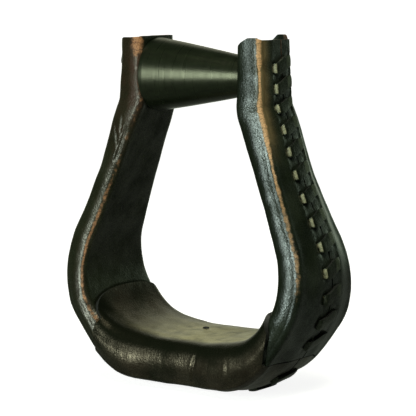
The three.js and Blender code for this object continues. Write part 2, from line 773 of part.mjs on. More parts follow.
// Countersunk screw, driven up through the strip into the block, or that shape grown by a clearance
// and drawn out below its head
function screwShape(x, clearance, drawnOut) {
  const base = laceProud + woodInset + screwSink;
  const shank = screwRadius + clearance;
  const head = screwHeadRadius + clearance;
  const tip = base + screwLength + clearance;
  return standing([
    [0, base - drawnOut],
    [head, base - drawnOut],
    [head, base + screwHeadLand],
    [shank, base + screwHeadDepth],
    [shank, tip - shank],
    [0, tip],
  ], x, 0);
}

function screwHole(x) {
  return screwShape(x, boreClearance, screwSink + cutOverrun);
}

// Profile of [radius, height] points, as a turned piece standing at a place
function standing(profile, x, y) {
  const points = profile.map(([radius, z]) => new THREE.Vector2(radius, z));
  const geometry = new THREE.LatheGeometry(points, screwSegments);
  geometry.rotateX(quarter);
  geometry.translate(x, y, 0);
  return geometry;
}

function tackHole(bottom, top) {
  const radius = tackShankRadius + boreClearance;
  return standing([[0, bottom], [radius, bottom], [radius, top], [0, top]], tackX, tackY);
}

function tack() {
  const seat = treadTop + treadDome + hardwareGap;
  const tip = treadTop - tackLength;
  const dome = tackDomeShares.map(([out, up]) => [tackHeadRadius * out, seat + tackHeadHeight * up]);
  return standing([
    [0, tip], [tackShankRadius, tip + 2 * tackShankRadius], [tackShankRadius, seat], ...dome,
  ], tackX, tackY);
}

// Tube or washer round the bolt
function ring(outer, xStart, xEnd) {
  const inner = boltRadius + boreClearance;
  return turnedAlongX([
    [inner, xStart], [outer, xStart], [outer, xEnd], [inner, xEnd], [inner, xStart],
  ], rollerAxis, smallTurnSegments);
}

function rollerBody() {
  const halfLength = neckHalfGap - rollerEndClearance;
  const bore = sleeveRadius + runningClearance;
  const shape = new THREE.SplineCurve(rollerReachShares.map((share, i) => (
    new THREE.Vector2(rollerBigRadius * rollerRadiusShares[i], halfLength * (2 * share - 1)))));
  const outline = shape.getPoints(2 * rollerReachShares.length).map((point) => [point.x, point.y]);
  outline[0] = [rollerBigRadius - rollerEdgeRound / 2, -halfLength + rollerEdgeRound];
  const [smallRadius] = outline.pop();
  outline.push([smallRadius, halfLength - rollerEdgeRound]);
  return turnedAlongX([
    [bore, -halfLength],
    [rollerBigRadius - rollerEdgeRound, -halfLength],
    ...outline,
    [smallRadius - rollerEdgeRound, halfLength],
    [bore, halfLength],
    [bore, -halfLength],
  ], rollerAxis, turnSegments);
}

function hexPrism(xStart, xEnd) {
  return roundBar(boltHeadRadius, xStart, xEnd, rollerAxis, hexSides);
}

function boltBody() {
  const end = -(headSeat + boltHeadThickness - boltEndDrop);
  const shank = roundBar(boltRadius, end, headSeat + boltHeadThickness / 2, rollerAxis);
  const head = hexPrism(headSeat, headSeat + boltHeadThickness);
  return toGeometry(toSolid(shank).add(toSolid(head)));
}

function nutBody() {
  const outside = headSeat + boltHeadThickness;
  const thread = roundBar(boltRadius + boreClearance, -outside - cutOverrun, 0, rollerAxis);
  return cut(hexPrism(-outside, -headSeat), [thread]);
}

// Finishes of the materials
const finish = (color, roughness, metalness = 0) => (
  new THREE.MeshStandardMaterial({ color, roughness, metalness }));
const legLeather = finish('#2a201b', 0.42);
const treadLeather = finish('#33281f', 0.5);
const thongLeather = finish('#1b1f17', 0.5);
const ash = finish('#a98559', 0.75);
const rollerWood = finish('#23281d', 0.38);
const zincSteel = finish('#9a9d9c', 0.4, 0.9);
const darkSteel = finish('#2f302d', 0.45, 0.8);

const stirrup = new THREE.Group();

function addPiece(name, geometry, material, turned = false) {
  geometry.computeVertexNormals();
  const mesh = new THREE.Mesh(geometry, material.clone());
  mesh.name = name;
  if (turned) {
    mesh.rotation.z = Math.PI;
  }
  stirrup.add(mesh);
}

addPiece('bent_frame', bentFrame(), ash);
addPiece('tread_block', treadBlock(), ash);
addPiece('block_screw_left', screwShape(screwPlaces[0], 0, 0), zincSteel);
addPiece('block_screw_right', screwShape(screwPlaces[1], 0, 0), zincSteel);
addPiece('right_leg_cover', legCover(true), legLeather);
addPiece('left_leg_cover', legCover(false), legLeather, true);
addPiece('tread_cover', treadCover(), treadLeather);
addPiece('right_leg_lace', lace(legStitches, legLaceOffset), thongLeather);
addPiece('left_leg_lace', lace(legStitches, legLaceOffset), thongLeather, true);
addPiece('tread_lace', lace(treadStitches, 0), thongLeather);
addPiece('tread_tack', tack(), darkSteel);
addPiece('roller', rollerBody(), rollerWood);
addPiece('roller_sleeve', ring(sleeveRadius, -sleeveHalfLength, sleeveHalfLength), zincSteel);
addPiece('roller_bolt', boltBody(), zincSteel);
addPiece('bolt_nut', nutBody(), zincSteel);
addPiece('head_washer', ring(washerRadius, washerSeat, washerSeat + washerThickness), zincSteel);
addPiece('nut_washer', ring(washerRadius, -washerSeat - washerThickness, -washerSeat), zincSteel);

export default stirrup;
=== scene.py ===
import math

import bpy
import numpy as np
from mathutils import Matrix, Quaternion, Vector, noise


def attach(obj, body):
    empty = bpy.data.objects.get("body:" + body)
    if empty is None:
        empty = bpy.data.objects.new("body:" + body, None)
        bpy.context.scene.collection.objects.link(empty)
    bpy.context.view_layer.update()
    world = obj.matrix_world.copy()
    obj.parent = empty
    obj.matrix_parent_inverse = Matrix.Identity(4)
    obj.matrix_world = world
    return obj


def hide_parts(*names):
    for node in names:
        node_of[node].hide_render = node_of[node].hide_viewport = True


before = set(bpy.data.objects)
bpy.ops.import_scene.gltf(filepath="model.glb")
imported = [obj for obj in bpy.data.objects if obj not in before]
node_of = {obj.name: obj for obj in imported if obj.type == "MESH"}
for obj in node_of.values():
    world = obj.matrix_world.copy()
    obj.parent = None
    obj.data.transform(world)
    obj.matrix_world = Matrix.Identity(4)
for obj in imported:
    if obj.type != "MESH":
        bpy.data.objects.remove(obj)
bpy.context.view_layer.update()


# Wooden core: one strip of ash, steamed and bent to the bell, with a block screwed on at the tread.
# It is bare wood, sanded but never varnished, pale tan with brown growth lines along its length.
# Only its end grain at the top of the legs can be seen, inside the rim of the leather.
def linear(code):
    channels = [int(code[i:i + 2], 16) / 255 for i in (1, 3, 5)]
    return [c / 12.92 if c <= 0.04045 else ((c + 0.055) / 1.055) ** 2.4 for c in channels] + [1]


def add(tree, kind, inputs=(), stops=(), **settings):
    made = tree.nodes.new(kind)
    for name, value in settings.items():
        setattr(made, name, value)
    for name, value in dict(inputs).items():
        if isinstance(value, bpy.types.NodeSocket):
            tree.links.new(value, made.inputs[name])
        else:
            made.inputs[name].default_value = value
    for k, (place_on_ramp, colour) in enumerate(stops):
        if k < 2:
            made.color_ramp.elements[k].position = place_on_ramp
        else:
            made.color_ramp.elements.new(place_on_ramp)
        made.color_ramp.elements[k].color = colour
    return made


def start_material(name):
    material = bpy.data.materials.new(name)
    material.use_nodes = True
    tree = material.node_tree
    tree.nodes.clear()
    shader = add(tree, "ShaderNodeBsdfPrincipled")
    add(tree, "ShaderNodeOutputMaterial", {"Surface": shader.outputs[0]})
    return material, tree, shader


ash, tree, shader = start_material("bare steam-bent ash")
where = add(tree, "ShaderNodeTexCoord").outputs["Object"]
# Growth lines about 1 mm apart, drawn out along the leg
along = add(tree, "ShaderNodeMapping", {"Vector": where, "Scale": (1, 1, 0.08)}).outputs[0]
rings = add(tree, "ShaderNodeTexNoise", {"Vector": along, "Scale": 900, "Detail": 4}).outputs["Fac"]
tone = add(tree, "ShaderNodeValToRGB", {"Fac": rings}, stops=[
    (0.3, linear("#6b4a2b")), (0.62, linear("#b08a5c"))])
tree.links.new(tone.outputs[0], shader.inputs["Base Color"])
shader.inputs["Roughness"].default_value = 0.72
ridge = add(tree, "ShaderNodeBump", {"Height": rings, "Strength": 0.4, "Distance": 0.0002})
tree.links.new(ridge.outputs[0], shader.inputs["Normal"])
for name in ("bent_frame", "tread_block"):
    node_of[name].data.materials.clear()
    node_of[name].data.materials.append(ash)


# Roller hardware and screws: an 8 mm bolt with its nut and two washers, sunk under the leather, a
# tube round it that the roller turns on, and two countersunk screws through the strip.
# Zinc plated steel, dull grey with a faint milky mottle; the tube shows as a line at the roller's ends.
zinc, tree, shader = start_material("zinc plated steel")
where = add(tree, "ShaderNodeTexCoord").outputs["Object"]
# Mottle of the plating, about 1.5 mm across
spangle = add(tree, "ShaderNodeTexNoise", {"Vector": where, "Scale": 700, "Detail": 3}).outputs["Fac"]
tone = add(tree, "ShaderNodeValToRGB", {"Fac": spangle}, stops=[
    (0.35, linear("#8c8f8e")), (0.7, linear("#b4b6b2"))])
dull = add(tree, "ShaderNodeMapRange", {"Value": spangle, "To Min": 0.32, "To Max": 0.5})
tree.links.new(tone.outputs[0], shader.inputs["Base Color"])
tree.links.new(dull.outputs[0], shader.inputs["Roughness"])
shader.inputs["Metallic"].default_value = 1
for name in ("roller_sleeve", "roller_bolt", "bolt_nut", "head_washer", "nut_washer",
             "block_screw_left", "block_screw_right"):
    node_of[name].data.materials.clear()
    node_of[name].data.materials.append(zinc)


# Leg covers: each is one piece of oil-dressed cowhide 2.4 mm thick, soaked, wrapped round the leg
# and laced shut down the outer face, where a hidden run of thong raises it to a low crown.
# It is cut from a flat sheet, so it is modelled as one: a flat grid wrapped round the leg.

# Inside outline of the wood: a flat floor, two corners, two bells, two leaning legs and two necks
foot_half_width = 0.06
neck_half_gap = 0.0294
floor_radius = 0.0335
bell_radius = 0.045
neck_radius = 0.025
tread_top = 0.0261
leg_top = tread_top + 0.154
neck_corner_z = tread_top + 0.118

floor_half = foot_half_width - floor_radius
bell_x = foot_half_width - bell_radius
bell_z = tread_top + floor_radius
to_corner = Vector((neck_half_gap - bell_x, neck_corner_z - bell_z))
lean = math.atan2(to_corner.y, to_corner.x) - math.acos(bell_radius / to_corner.length)
neck_tangent = neck_radius * math.tan(lean / 2)
floor_arc = floor_radius * math.pi / 2
bell_start = floor_half + floor_arc
lean_start = bell_start + bell_radius * lean
lean_length = math.sqrt(to_corner.length ** 2 - bell_radius ** 2) - neck_tangent
neck_start = lean_start + lean_length
neck_end = neck_start + neck_radius * lean
top_end = neck_end + leg_top - neck_corner_z - neck_tangent


def smooth(value, low, high):
    t = min(max((value - low) / (high - low), 0), 1)
    return t * t * (3 - 2 * t)


def mix(a, b, share):
    return a + (b - a) * share


def hump(value, middle, half_width):
    return math.exp(-(((value - middle) / half_width) ** 2))


# Point and outward direction of the inside outline, at a distance from the middle of the tread
def inside_outline(distance):
    side = -1 if distance < 0 else 1
    d = abs(distance)
    if d <= floor_half:
        return side * d, tread_top, 0, -1
    if d <= bell_start:
        a = (d - floor_half) / floor_radius
        x, z = floor_half + floor_radius * math.sin(a), bell_z - floor_radius * math.cos(a)
        return side * x, z, side * math.sin(a), -math.cos(a)
    if d <= lean_start:
        a = (d - bell_start) / bell_radius
        x, z = bell_x + bell_radius * math.cos(a), bell_z + bell_radius * math.sin(a)
        return side * x, z, side * math.cos(a), math.sin(a)
    if d <= neck_start:
        up = d - lean_start
        x = bell_x + bell_radius * math.cos(lean) - up * math.sin(lean)
        z = bell_z + bell_radius * math.sin(lean) + up * math.cos(lean)
        return side * x, z, side * math.cos(lean), math.sin(lean)
    if d <= neck_end:
        a = lean - (d - neck_start) / neck_radius
        x = neck_half_gap + neck_radius * (1 - math.cos(a))
        z = neck_corner_z + neck_tangent - neck_radius * math.sin(a)
        return side * x, z, side * math.cos(a), math.sin(a)
    return side * neck_half_gap, neck_corner_z + neck_tangent + d - neck_end, side, 0


tread_thickness, bell_thickness, leg_thickness = 0.0223, 0.0134, 0.0124
shoulder_thickness, neck_thickness = 0.0152, 0.0138
# Share of the floor's corner at which the block runs out, and shares of the lean at which the bell's
# thickness ends and the shoulder's begins
block_ends, bell_ends, shoulder_begins = 0.6, 0.3, 0.45


def thickness_at(distance):
    d = abs(distance)
    turn = min(max((d - floor_half) / (floor_arc * block_ends), 0), 1)
    thinned = smooth(d, bell_start, lean_start + lean_length * bell_ends)
    upper = mix(bell_thickness, leg_thickness, thinned)
    low = mix(upper, tread_thickness, math.cos(math.pi / 2 * turn) ** 2)
    swell = smooth(d, lean_start + lean_length * shoulder_begins, neck_start)
    shoulder = mix(shoulder_thickness, neck_thickness, smooth(d, neck_end, top_end))
    return mix(low, shoulder, swell)


tread_half_depth, bell_half_depth = 0.0292, 0.0298
shoulder_half_depth, neck_half_depth = 0.016, 0.0147
# The leg narrows from this height over the tread, on a falling curve of this height and shape
narrow_from, narrow_height, narrow_scale, narrow_power = 0.0189, 0.0991, 0.53, 1.15


def half_depth_at(distance):
    d = abs(distance)
    rise = (inside_outline(d)[1] - tread_top - narrow_from) / narrow_height
    wide = math.exp(-((max(rise, 0) / narrow_scale) ** narrow_power))
    at_neck = smooth(d, neck_start - 0.004, neck_end + 0.006)
    narrow = mix(shoulder_half_depth, neck_half_depth, at_neck)
    return mix(narrow, mix(tread_half_depth, bell_half_depth, smooth(d, 0, bell_start)), wide)


def place(distance, height, y):
    x, z, nx, nz = inside_outline(distance)
    reach = thickness_at(distance) + height
    return Vector((x + nx * reach, y, z + nz * reach))


# Lengths along the outer face, where the stitches are spaced
walk_steps = 600
walked = [0]
for k in range(walk_steps):
    a, b = place(top_end * k / walk_steps, 0, 0), place(top_end * (k + 1) / walk_steps, 0, 0)
    walked.append(walked[-1] + (b - a).length)


def outer_length(distance):
    return float(np.interp(distance, np.linspace(0, top_end, walk_steps + 1), walked))


def distance_at_outer(length):
    found = float(np.interp(abs(length), walked, np.linspace(0, top_end, walk_steps + 1)))
    return -found if length < 0 else found


# Stitches: on the legs their pitch grows downwards from the top, up to a limit
leg_pitch_top, leg_pitch_growth, leg_pitch_most, tread_pitch = 0.0102, 0.00042, 0.0127, 0.014
first_stitch_down = 0.0128
# Distance from the seam to each row of slits, and half the slant of a strap between the rows
lace_row, lace_slant = 0.0065, 0.0017
slit_half_width, bare_end = 0.0025, 0.0044
# How far the seam lies behind the middle of the laced face
leg_lace_offset, tread_lace_offset = 0.002, 0
# Share of the floor's corner at which the tread cover meets the leg covers on the laced face
lap_at_seam = 0.42
seam_outer = outer_length(floor_half + floor_arc * lap_at_seam)
stitch_end = lace_slant + slit_half_width + bare_end
leg_stitches = []
next_stitch = outer_length(top_end) - first_stitch_down
while next_stitch > seam_outer + stitch_end:
    leg_stitches.insert(0, next_stitch)
    pitch = leg_pitch_top + leg_pitch_growth * (len(leg_stitches) - 1)
    next_stitch -= min(pitch, leg_pitch_most)
tread_count = int(2 * (seam_outer - stitch_end) / tread_pitch) + 1
tread_stitches = [(k - (tread_count - 1) / 2) * tread_pitch for k in range(tread_count)]

# Columns of the sheet run from the seam to the middle of the inner face, and as many back: over the
# crown on the hidden thong, down its slope, round the outer corner, across the band at the front or
# back, round the inner corner and over the inner face. These are the columns at which each ends.
crown_end, slope_end, corner_end, band_end, inner_corner_end, half_columns = 8, 20, 28, 42, 50, 70
crown_height, crown_half_width, seam_half_gap = 0.00205, 0.00795, 0.0005
outer_radius = 0.003
inner_radius_leg, inner_radius_front, inner_radius_back = 0.0036, 0.0075, 0.0036
tread_dome = 0.0006
setback = 0.0012
band_bulge_leg, band_bulge_tread = 0.0003, 0.001


def column_at(round_share):
    return half_columns * (1 - abs(2 * round_share - 1))


# Angle of the surface at a column: none on the front and back, a right angle on the inner face
def corner_turn(column):
    return math.pi / 2 * min(max((column - band_end) / (inner_corner_end - band_end), 0), 1)


# Height over the outer face and Y of a place round the section; the tread's front edge is rounder
def section_place(column, side, distance, lace_offset, front=-1):
    thick, deep = thickness_at(distance), half_depth_at(distance)
    on_leg = smooth(abs(distance), floor_half, bell_start)
    low_radius = inner_radius_front if side == front else inner_radius_back
    inner_radius = mix(low_radius, inner_radius_leg, on_leg)
    outer_start, inner_start = deep - setback - outer_radius, deep - inner_radius
    if column <= crown_end:
        y = mix(seam_half_gap, crown_half_width, column / crown_end)
        return crown_height, lace_offset + side * y
    if column <= slope_end:
        t = (column - crown_end) / (slope_end - crown_end)
        y = mix(lace_offset + side * crown_half_width, side * outer_start, t)
        return crown_height * (1 - smooth(t, 0, 0.9)), y
    if column <= corner_end:
        a = math.pi / 2 * (column - slope_end) / (corner_end - slope_end)
        return outer_radius * (math.cos(a) - 1), side * (outer_start + outer_radius * math.sin(a))
    if column <= band_end:
        t = (column - corner_end) / (band_end - corner_end)
        bulge = mix(band_bulge_tread, band_bulge_leg, on_leg) * math.sin(math.pi * t)
        y = deep - setback * (1 - t) ** 1.5 + bulge
        return mix(-outer_radius, inner_radius - thick, t), side * y
    if column <= inner_corner_end:
        a = corner_turn(column)
        y = inner_start + inner_radius * math.cos(a)
        return inner_radius * (1 - math.sin(a)) - thick, side * y
    t = (column - inner_corner_end) / (half_columns - inner_corner_end)
    dome = tread_dome * (1 - on_leg) * smooth(t, 0, 0.4)
    return -thick - dome, side * inner_start * (1 - t)


# Where the tread cover ends over the leg covers, in shares of the floor's corner: it climbs from the
# laced face to a tongue up the inner face, more on one side, the right leg's front and the left's back
tongue_share = 0.74


def lap_edge(column, is_wide, is_right):
    outer, corner = (0.4, 0.72 if is_right else 0.6) if is_wide else (0.32, 0.46)
    share = mix(lap_at_seam, outer, smooth(column, crown_end, 22))
    share = mix(share, corner, min(max((column - 26) / 24, 0), 1))
    across = min(max(1 - (column - 47) / 23, 0), 1)
    share = mix(share, tongue_share, (1 - across ** (3 if is_wide else 2)) ** 0.5)
    return floor_half + floor_arc * share


# Beyond the outer corner the two covers lie over each other, and on the laced face end to end
def overlap(column):
    return smooth(column, 22, 27)


lap_length, lap_rise, lap_gap = 0.008, 0.002, 0.00035
hide_thickness = 0.0024


# A flat sheet of columns by rows, wrapped by a function of the share round and the share along
def wrapped_sheet(name, columns, rows, wrap):
    bpy.ops.object.select_all(action="DESELECT")
    bpy.ops.mesh.primitive_grid_add(x_subdivisions=columns, y_subdivisions=rows, size=1)
    piece = bpy.context.object
    piece.name = piece.data.name = name
    for vertex in piece.data.vertices:
        vertex.co = wrap(vertex.co.x + 0.5, vertex.co.y + 0.5)
    piece.data.update()
    return piece


# Puts the real distance along an axis into the sheet's UV map, for the cracks
def measure_along(piece, axis):
    spacing = piece.data.uv_layers.active.data
    for loop in piece.data.loops:
        along = piece.data.vertices[loop.vertex_index].co[axis]
        spacing[loop.index].uv = (spacing[loop.index].uv[0], along)


# Turns the sheet over if the face that is nearest to this place doesn't look outwards
def face_out(piece, nearby, outward):
    nearest = min(piece.data.polygons, key=lambda p: (p.center - nearby).length)
    if nearest.normal.dot(outward) < 0:
        piece.data.flip_normals()


# Height and size of the soft lumps in hand-stretched leather; depth of the dip where the thong draws a
# slit in, its length along the leg and across it, and where it has died out
lumps = ((0.00022, 0.013), (0.0001, 0.005))
dip, dip_along, dip_across = 0.0012, 0.0034, 0.0018
reach_along, reach_across = 0.014, 0.008


def pucker(piece, stitches, lace_offset, is_left):
    holes = [(distance_at_outer(s + side * lace_slant), lace_offset + side * lace_row)
             for s in stitches for side in (-1, 1)]
    spots = [place(d, crown_height, y) for d, y in holes]
    normals = [v.normal.copy() for v in piece.data.vertices]
    for vertex, normal in zip(piece.data.vertices, normals):
        co = vertex.co
        seed = Vector((co.x + (0.5 if is_left else 0), co.y, co.z))
        amount = sum(height * noise.noise(seed / size) for height, size in lumps)
        for spot in spots:
            gap = co - spot
            if abs(gap.x) + abs(gap.z) < reach_along and abs(gap.y) < reach_across:
                run = math.hypot(gap.x, gap.z)
                amount -= dip * hump(run, 0, dip_along) * hump(gap.y, 0, dip_across)
        vertex.co = co + normal * amount
    piece.data.update()


# Gives the sheet its face and its cut edge, and its thickness towards the flesh side
def thicken(piece, hides, thickness, full_group=""):
    for hide in hides:
        piece.data.materials.append(hide)
    bpy.ops.object.select_all(action="DESELECT")
    piece.select_set(True)
    bpy.context.view_layer.objects.active = piece
    solid = piece.modifiers.new("thickness", "SOLIDIFY")
    solid.thickness = thickness
    solid.offset = -1
    solid.use_even_offset = False
    solid.material_offset_rim = 1
    solid.vertex_group = full_group
    bpy.ops.object.modifier_apply(modifier=solid.name)
    bpy.ops.object.shade_smooth_by_angle(angle=math.radians(50))


def turn_half_round(piece):
    for vertex in piece.data.vertices:
        vertex.co = (-vertex.co.x, -vertex.co.y, vertex.co.z)


# Height of the rim over the nominal top of the leg, where the corners are cut away: the corner's
# height, the cut beside the crown and the height on the inner face, by leg and side
def rim_rise(column, side, is_right):
    high, outer_cut, inner = 0.0004, 0.001, 0.001
    if is_right:
        high, outer_cut, inner = (0.0006, 0.001, -0.0054) if side < 0 else (0.0018, 0.0064, -0.0054)
    level = mix(-0.0004, high - outer_cut, smooth(column, 10, 18))
    level = mix(level, high, smooth(column, slope_end, corner_end))
    inwards = float(np.interp(column, (35, band_end, inner_corner_end), (0, 0.33, 1)))
    return mix(level, inner, inwards)


# The rim of the hide, fibrous and buff where it was cut, dyed with the face everywhere but at the top
def cut_edge(name, deep, raw):
    material, tree, shader = start_material(name + ", cut edge")
    where = add(tree, "ShaderNodeTexCoord").outputs["Object"]
    fibre = add(tree, "ShaderNodeTexNoise", {"Vector": where, "Scale": 700, "Detail": 4}).outputs["Fac"]
    undyed = add(tree, "ShaderNodeValToRGB", {"Fac": fibre}, stops=[
        (0.3, linear(deep)), (0.7, linear(raw))]).outputs[0]
    height = add(tree, "ShaderNodeSeparateXYZ", {0: where}).outputs["Z"]
    below_rim = add(tree, "ShaderNodeMapRange", {
        "Value": height, "From Min": 0.155, "From Max": 0.168, "To Min": 1, "To Max": 0}).outputs[0]
    dyed = add(tree, "ShaderNodeMix", {
        0: below_rim, 6: undyed, 7: linear(deep)}, data_type="RGBA").outputs[2]
    tree.links.new(dyed, shader.inputs["Base Color"])
    shader.inputs["Roughness"].default_value = 0.65
    nap = add(tree, "ShaderNodeBump", {"Height": fibre, "Strength": 0.5, "Distance": 0.0003}).outputs[0]
    tree.links.new(nap, shader.inputs["Normal"])
    return material


# Oil-dressed cowhide: a dark dye in clouds, a broken satin shine on the tops of its grain, dull where it is
# scuffed, bare tan with dark cracks where the edges are rubbed through the dye; painted shade darkens it
# and takes its shine, and its haze and wear also carry painted light
def leather(name, face, deep, worn_and_glint, haze_and_light, raw, glint):
    material, tree, shader = start_material(name)
    where = add(tree, "ShaderNodeTexCoord").outputs["Object"]
    # Clouds of dye, about 20 mm
    cloud = add(tree, "ShaderNodeTexNoise", {"Vector": where, "Scale": 55, "Detail": 5}).outputs["Fac"]
    dye = add(tree, "ShaderNodeValToRGB", {"Fac": cloud}, stops=[
        (0.36, linear(deep)), (0.66, linear(face))]).outputs[0]
    # Pebble grain, real about 0.5 mm, drawn at about 1 mm so that it shows, with finer hair cells
    pebble = add(tree, "ShaderNodeTexVoronoi", {"Vector": where, "Scale": 950}).outputs["Distance"]
    fine = add(tree, "ShaderNodeTexNoise", {"Vector": where, "Scale": 1500, "Detail": 2}).outputs["Fac"]
    # Scuffed haze in patches of about 6 mm; on the tread's top and the thong's back bends it is partly
    # painted light
    haze_and_light_share = add(tree, "ShaderNodeAttribute", attribute_name="haze_and_light").outputs["Fac"]
    uneven = add(tree, "ShaderNodeTexNoise", {"Vector": where, "Scale": 170, "Detail": 4}).outputs["Fac"]
    thin = add(tree, "ShaderNodeMapRange", {
        "Value": uneven, "From Min": 0.25, "From Max": 0.7, "To Min": 0.3}).outputs[0]
    patchy_haze_and_light = add(tree, "ShaderNodeMath", {
        0: haze_and_light_share, 1: thin}, operation="MULTIPLY", use_clamp=True).outputs[0]
    hazed_and_lit = add(tree, "ShaderNodeMix", {0: patchy_haze_and_light, 6: dye, 7: linear(haze_and_light)}, data_type="RGBA").outputs[2]
    # Wear that has gone through the dye, in patches of 2 to 3 mm; on the thong's bends over the front slits
    # it is partly a painted highlight
    patch = add(tree, "ShaderNodeTexNoise", {"Vector": where, "Scale": 420, "Detail": 4}).outputs["Fac"]
    rub_and_glint = add(tree, "ShaderNodeAttribute", attribute_name="wear_and_glint").outputs["Fac"]
    rubbed_and_glint = add(tree, "ShaderNodeMath", {0: rub_and_glint, 1: patch}, operation="ADD").outputs[0]
    bare = add(tree, "ShaderNodeMapRange", {
        "Value": rubbed_and_glint, "From Min": 0.75, "From Max": 1.2}, interpolation_type="SMOOTHSTEP").outputs[0]
    # Cracks across the worn edge, 2 to 6 mm apart
    run = add(tree, "ShaderNodeUVMap").outputs[0]
    along = add(tree, "ShaderNodeSeparateXYZ", {0: run}).outputs["Y"]
    wander = add(tree, "ShaderNodeMath", {
        0: patch, 1: 0.004, 2: along}, operation="MULTIPLY_ADD").outputs[0]
    crack = add(tree, "ShaderNodeTexVoronoi", {
        "W": wander, "Scale": 260}, voronoi_dimensions="1D", feature="DISTANCE_TO_EDGE").outputs[0]
    line = add(tree, "ShaderNodeMapRange", {
        "Value": crack, "From Min": 0.02, "From Max": 0.09, "To Min": 0.8, "To Max": 0}).outputs[0]
    streak = add(tree, "ShaderNodeMapRange", {
        "Value": fine, "From Min": 0.35, "From Max": 0.6, "To Min": 0.55, "To Max": 0}).outputs[0]
    broken = add(tree, "ShaderNodeMath", {0: line, 1: streak}, operation="MAXIMUM").outputs[0]
    tan = add(tree, "ShaderNodeMix", {
        0: broken, 6: linear(worn_and_glint), 7: linear(haze_and_light)}, data_type="RGBA").outputs[2]
    dry = add(tree, "ShaderNodeMix", {0: bare, 6: hazed_and_lit, 7: tan}, data_type="RGBA").outputs[2]
    # Painted shade, and a darker tone low on the right leg's worn strip: mixes towards the deep dye colour
    painted_shade = add(tree, "ShaderNodeAttribute", attribute_name="painted_shade").outputs["Fac"]
    oiled = add(tree, "ShaderNodeMix", {0: painted_shade, 6: dry, 7: linear(deep)}, data_type="RGBA").outputs[2]
    tree.links.new(oiled, shader.inputs["Base Color"])
    dull = add(tree, "ShaderNodeMapRange", {"Value": cloud, "To Min": 0.24, "To Max": 0.42}).outputs[0]
    rough = add(tree, "ShaderNodeMath", {0: bare, 1: 0.25, 2: dull}, operation="MULTIPLY_ADD").outputs[0]
    tree.links.new(rough, shader.inputs["Roughness"])
    # The grain's tops are polished and its hollows are not; scuffs and the painted shade take the shine off
    polish = add(tree, "ShaderNodeMapRange", {
        "Value": fine, "From Min": 0.36, "From Max": 0.66, "To Min": 0.26, "To Max": 0.74}).outputs[0]
    scuffed = add(tree, "ShaderNodeMapRange", {
        "Value": haze_and_light_share, "From Max": 1.5, "To Min": 1, "To Max": 0}).outputs[0]
    shine_left_by_shade = add(tree, "ShaderNodeMapRange", {"Value": painted_shade, "To Min": 1, "To Max": 0.05}).outputs[0]
    # Handled smoother in some places than in others, about 10 mm across
    handled = add(tree, "ShaderNodeTexNoise", {"Vector": where, "Scale": 95, "Detail": 2}).outputs["Fac"]
    shine = add(tree, "ShaderNodeMapRange", {
        "Value": handled, "From Min": 0.35, "From Max": 0.65, "To Min": 0.5, "To Max": 1.45}).outputs[0]
    for share in (polish, scuffed, shine_left_by_shade):
        shine = add(tree, "ShaderNodeMath", {0: shine, 1: share}, operation="MULTIPLY").outputs[0]
    tree.links.new(shine, shader.inputs["Specular IOR Level"])
    shader.inputs["Specular Tint"].default_value = linear(glint)
    low = add(tree, "ShaderNodeBump", {"Height": pebble, "Strength": 0.4, "Distance": 0.0002}).outputs[0]
    high = add(tree, "ShaderNodeBump", {
        "Height": fine, "Strength": 0.4, "Distance": 0.00012, "Normal": low}).outputs[0]
    tree.links.new(high, shader.inputs["Normal"])
    shader.inputs["IOR"].default_value = 1.5
    return material, cut_edge(name, deep, raw)


# Paints an attribute on each point of a sheet, from its share round and its place
def paint(piece, columns, label, amount_at):
    layer = piece.data.attributes.new(label, "FLOAT", "POINT")
    values = [amount_at(k % columns / (columns - 1), piece.data.vertices[k].co)
              for k in range(len(piece.data.vertices))]
    layer.data.foreach_set("value", values)


# Creases pressed into the front, each from one (X, Z) to another and so deep: a groove with a low
# ridge beside it, faded out at both ends
groove_width, ridge_width, ridge_aside, ridge_share = 0.0008, 0.0011, 0.0016, 0.5


def crease(piece, lines, turned=1):
    normals = [v.normal.copy() for v in piece.data.vertices]
    for vertex, normal in zip(piece.data.vertices, normals):
        x, y, z = vertex.co.x * turned, vertex.co.y * turned, vertex.co.z
        if y > 0:
            continue
        amount = 0
        for x1, z1, x2, z2, depth in lines:
            run = math.hypot(x2 - x1, z2 - z1)
            ux, uz = (x2 - x1) / run, (z2 - z1) / run
            along = (x - x1) * ux + (z - z1) * uz
            off = (x - x1) * uz - (z - z1) * ux
            ends = smooth(along, -0.001, 0.003) * smooth(along, run + 0.001, run - 0.003)
            ridge = ridge_share * hump(off, ridge_aside, ridge_width)
            amount += ends * depth * (ridge - hump(off, 0, groove_width))
        vertex.co += normal * amount
    piece.data.update()


